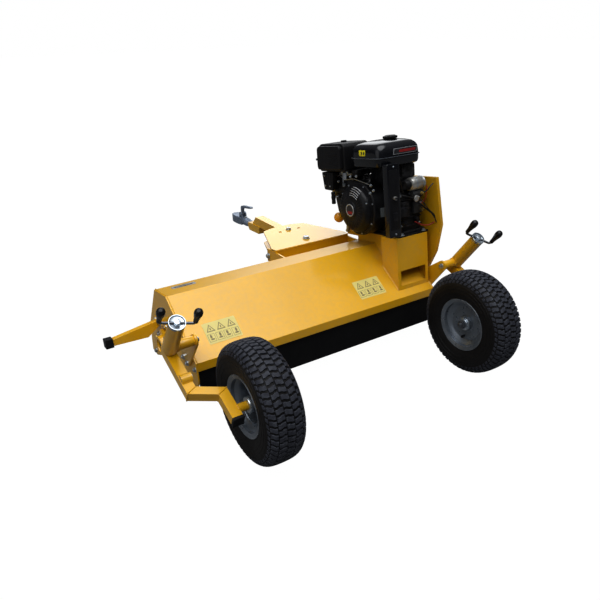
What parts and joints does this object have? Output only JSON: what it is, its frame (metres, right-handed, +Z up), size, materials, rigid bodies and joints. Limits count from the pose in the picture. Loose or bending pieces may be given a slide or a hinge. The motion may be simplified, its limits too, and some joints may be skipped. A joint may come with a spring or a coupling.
{
  "type": "brush mower",
  "caption": "Towed flail brush mower with its own petrol engine, a swinging drawbar with a ball coupler, and rear wheels carried on crank-wound height jacks.",
  "frame": {"origin": "on the ground under the middle of the overall length and width", "axes": "+X to the machine right, +Y forwards to the drawbar, +Z up"},
  "size_m": [1.6742, 1.9508, 0.9648],
  "materials": {
    "deck_paint": "glossy amber yellow powder coat",
    "dark_paint": "gloss black stove enamel",
    "engine_cast": "cast aluminium painted black",
    "zinc": "bright zinc plate",
    "rim_steel": "silver grey painted steel",
    "cast": "dark cast iron",
    "rubber": "black rubber sheet",
    "tyre": "black tyre rubber",
    "black_plastic": "fine textured black plastic",
    "gloss_plastic": "glossy black",
    "knob": "glossy amber"
  },
  "bodies": {
    "chassis": {"deck_shell": "deck_paint", "left_end_plate": "deck_paint", "right_end_plate": "deck_paint", "engine_pedestal": "deck_paint", "side_guide_arm": "deck_paint", "belt_guard_back": "deck_paint", "belt_guard_cover": "deck_paint", "left_jack_tube": "deck_paint", "right_jack_tube": "deck_paint", "hitch_frame": "deck_paint", "drive_belt": "rubber", "side_guide_cap": "black_plastic", "air_cleaner_cover": "black_plastic", "air_cleaner_base": "black_plastic", "control_box": "black_plastic", "fuel_tank": "gloss_plastic", "engine_block": "engine_cast", "valve_cover": "engine_cast", "fan_housing": "dark_paint", "recoil_cover": "dark_paint", "muffler": "cast", "left_bearing_housing": "cast", "right_bearing_housing": "cast", "carburettor": "zinc", "starter_motor": "zinc", "drawbar_pivot_bolt": "zinc"},
    "front_flap": {"front_flap": "rubber"},
    "rear_flap": {"rear_flap": "rubber"},
    "drawbar": {"drawbar": "deck_paint", "coupler_body": "zinc"},
    "coupler_latch": {"coupler_latch": "zinc"},
    "drawbar_lock_bolt": {"drawbar_lock_bolt": "zinc"},
    "rotor": {"flail_rotor": "cast", "rotor_pulley": "cast"},
    "engine_shaft": {"engine_crankshaft": "zinc", "engine_pulley": "cast"},
    "belt_lever": {"belt_lever": "zinc", "belt_lever_knob": "knob"},
    "idler_pulley": {"idler_pulley": "cast"},
    "recoil_grip": {"recoil_grip": "black_plastic"},
    "throttle_lever": {"throttle_lever": "zinc"},
    "fuel_cap": {"fuel_cap": "black_plastic"},
    "oil_dipstick": {"oil_dipstick": "black_plastic"},
    "ignition_key": {"ignition_key": "black_plastic"},
    "left_wheel_arm": {"left_wheel_arm": "deck_paint", "left_arm_cap": "black_plastic", "left_axle_nut": "zinc"},
    "left_wheel": {"left_rim": "rim_steel", "left_tyre": "tyre"},
    "left_crank": {"left_jack_crank": "zinc", "left_crank_grip_inner": "black_plastic", "left_crank_grip_outer": "black_plastic"},
    "right_wheel_arm": {"right_wheel_arm": "deck_paint", "right_arm_cap": "black_plastic", "right_axle_nut": "zinc"},
    "right_wheel": {"right_rim": "rim_steel", "right_tyre": "tyre"},
    "right_crank": {"right_jack_crank": "zinc", "right_crank_grip_inner": "black_plastic", "right_crank_grip_outer": "black_plastic"}
  },
  "joints": [
    {"name": "front_flap_hinge", "type": "hinge", "parent": "chassis", "child": "front_flap", "pos_m": [0.0409, 0.10103, 0.17308], "axis": [1, 0, 0], "range_deg": [-12, 25]},
    {"name": "rear_flap_hinge", "type": "hinge", "parent": "chassis", "child": "rear_flap", "pos_m": [0.0409, -0.4062, 0.21407], "axis": [-1, 0, 0], "range_deg": [-8, 20]},
    {"name": "drawbar_swing", "type": "hinge", "parent": "chassis", "child": "drawbar", "pos_m": [0.2879, 0.1394, 0.389], "axis": [0, 0, 1], "range_deg": [-19, 19]},
    {"name": "coupler_latch_hinge", "type": "hinge", "parent": "drawbar", "child": "coupler_latch", "pos_m": [0.2879, 0.8624, 0.378], "axis": [-1, 0, 0], "range_deg": [0, 40]},
    {"name": "lock_bolt_lift", "type": "slide", "parent": "chassis", "child": "drawbar_lock_bolt", "axis": [0, 0, 1], "range_m": [0, 0.06]},
    {"name": "rotor_spin", "type": "hinge", "parent": "chassis", "child": "rotor", "pos_m": [0.0409, -0.08553, 0.18213], "axis": [1, 0, 0], "continuous": true},
    {"name": "engine_shaft_spin", "type": "hinge", "parent": "chassis", "child": "engine_shaft", "pos_m": [0.7309, -0.11325, 0.61722], "axis": [1, 0, 0], "continuous": true},
    {"name": "belt_lever_hinge", "type": "hinge", "parent": "chassis", "child": "belt_lever", "pos_m": [0.5409, 0.06449, 0.44481], "axis": [1, 0, 0], "range_deg": [-5, 20]},
    {"name": "idler_spin", "type": "hinge", "parent": "belt_lever", "child": "idler_pulley", "pos_m": [0.7309, 0.00824, 0.36789], "axis": [1, 0, 0], "continuous": true},
    {"name": "recoil_pull", "type": "slide", "parent": "chassis", "child": "recoil_grip", "axis": [-1, 0, 0], "range_m": [0, 0.4]},
    {"name": "throttle_hinge", "type": "hinge", "parent": "chassis", "child": "throttle_lever", "pos_m": [0.4149, -0.01079, 0.7139], "axis": [1, 0, 0], "range_deg": [-30, 30]},
    {"name": "fuel_cap_turn", "type": "hinge", "parent": "chassis", "child": "fuel_cap", "pos_m": [0.5459, -0.18883, 0.95604], "axis": [0, 0.1392, 0.9903], "range_deg": [0, 90]},
    {"name": "dipstick_turn", "type": "hinge", "parent": "chassis", "child": "oil_dipstick", "pos_m": [0.5409, -0.3233, 0.57403], "axis": [0, 0.9903, -0.1392], "range_deg": [0, 90]},
    {"name": "ignition_turn", "type": "hinge", "parent": "chassis", "child": "ignition_key", "pos_m": [0.4389, -0.36818, 0.72172], "axis": [0, 0.9903, -0.1392], "range_deg": [0, 60]},
    {"name": "left_jack_slide", "type": "slide", "parent": "chassis", "child": "left_wheel_arm", "axis": [0, 0.6018, -0.7986], "range_m": [0, 0.09]},
    {"name": "left_wheel_spin", "type": "hinge", "parent": "left_wheel_arm", "child": "left_wheel", "pos_m": [-0.4951, -0.74819, 0.228], "axis": [1, 0, 0], "continuous": true},
    {"name": "left_crank_turn", "type": "hinge", "parent": "chassis", "child": "left_crank", "pos_m": [-0.6941, -0.56189, 0.51466], "axis": [0, -0.6018, 0.7986], "continuous": true},
    {"name": "right_jack_slide", "type": "slide", "parent": "chassis", "child": "right_wheel_arm", "axis": [0, 0.6018, -0.7986], "range_m": [0, 0.09]},
    {"name": "right_wheel_spin", "type": "hinge", "parent": "right_wheel_arm", "child": "right_wheel", "pos_m": [0.5769, -0.74819, 0.228], "axis": [1, 0, 0], "continuous": true},
    {"name": "right_crank_turn", "type": "hinge", "parent": "chassis", "child": "right_crank", "pos_m": [0.7759, -0.56189, 0.51466], "axis": [0, -0.6018, 0.7986], "continuous": true}
  ],
  "couplings": [
    {"joint": "engine_shaft_spin", "follows": "rotor_spin", "ratio": 1.3913},
    {"joint": "left_crank_turn", "follows": "left_jack_slide", "rad_per_m": 785.4},
    {"joint": "right_crank_turn", "follows": "right_jack_slide", "rad_per_m": 785.4}
  ]
}
